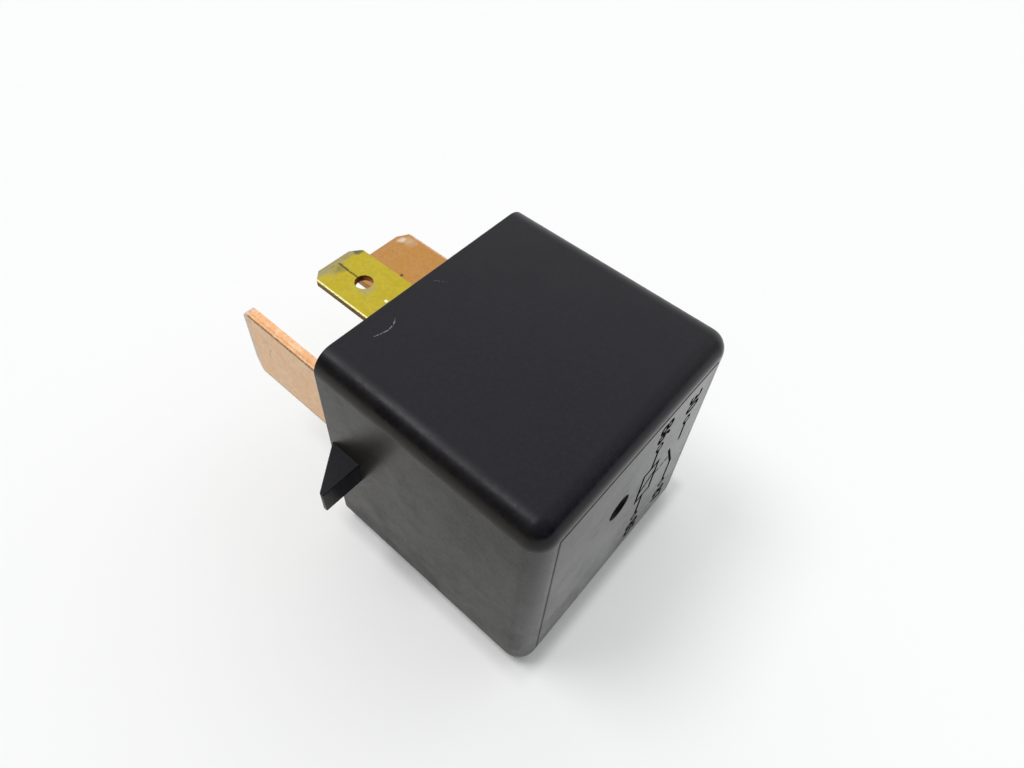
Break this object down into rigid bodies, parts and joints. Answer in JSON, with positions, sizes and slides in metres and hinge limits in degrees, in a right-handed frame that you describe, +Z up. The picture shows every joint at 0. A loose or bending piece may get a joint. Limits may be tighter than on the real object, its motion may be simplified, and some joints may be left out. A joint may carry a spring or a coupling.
{
  "type": "automotive relay",
  "caption": "Plug-in automotive relay: black moulded cover with a side snap wedge, blade terminals, and a coil, yoke and tilting armature inside that close a contact.",
  "frame": {"origin": "centre of the flat side wall that the relay rests on", "axes": "+Z up from that wall, +Y from the closed end to the blades' tips, -X towards the wall with the snap wedge"},
  "size_m": [0.0324, 0.0429, 0.028],
  "materials": {
    "cover_plastic": "fine satin grain, black moulded plastic",
    "base_plastic": "matt black moulded plastic",
    "sealing_resin": "glossy dark brown resin",
    "load_blade_copper": "bare stamped copper",
    "switch_blade_copper": "bare stamped copper, dulled",
    "coil_blade_brass": "stamped brass with a yellow passivated skin",
    "magnet_steel": "zinc-plated soft iron",
    "bobbin_plastic": "natural glass-filled nylon",
    "enamelled_wire": "copper wire under clear enamel",
    "insulating_tape": "amber polyester film",
    "spring_bronze": "rolled copper alloy strip",
    "spring_steel": "rolled spring steel",
    "rivet_steel": "plated steel",
    "contact_silver": "silver alloy"
  },
  "bodies": {
    "housing": {"cover": "cover_plastic", "base": "base_plastic", "seal_bead": "sealing_resin", "terminal_30": "load_blade_copper", "terminal_87": "switch_blade_copper", "terminal_86": "coil_blade_brass", "terminal_85": "coil_blade_brass", "yoke": "magnet_steel", "core": "magnet_steel", "bobbin": "bobbin_plastic", "winding": "enamelled_wire", "coil_tape": "insulating_tape", "coil_lead_86": "enamelled_wire", "coil_lead_85": "enamelled_wire", "hinge_spring": "spring_steel", "yoke_rivets": "rivet_steel", "fixed_contact": "contact_silver"},
    "armature": {"armature": "magnet_steel", "contact_spring": "spring_bronze", "armature_rivets": "rivet_steel", "moving_contact": "contact_silver"}
  },
  "joints": [
    {"name": "armature_tilt", "type": "hinge", "parent": "housing", "child": "armature", "pos_m": [0.012, -0.00725, 0.014], "axis": [0, 0, -1], "range_deg": [0, 3], "stiffness_Nm_per_rad": 0.05, "springref_deg": -11.46, "deforming": ["hinge_spring"]}
  ]
}
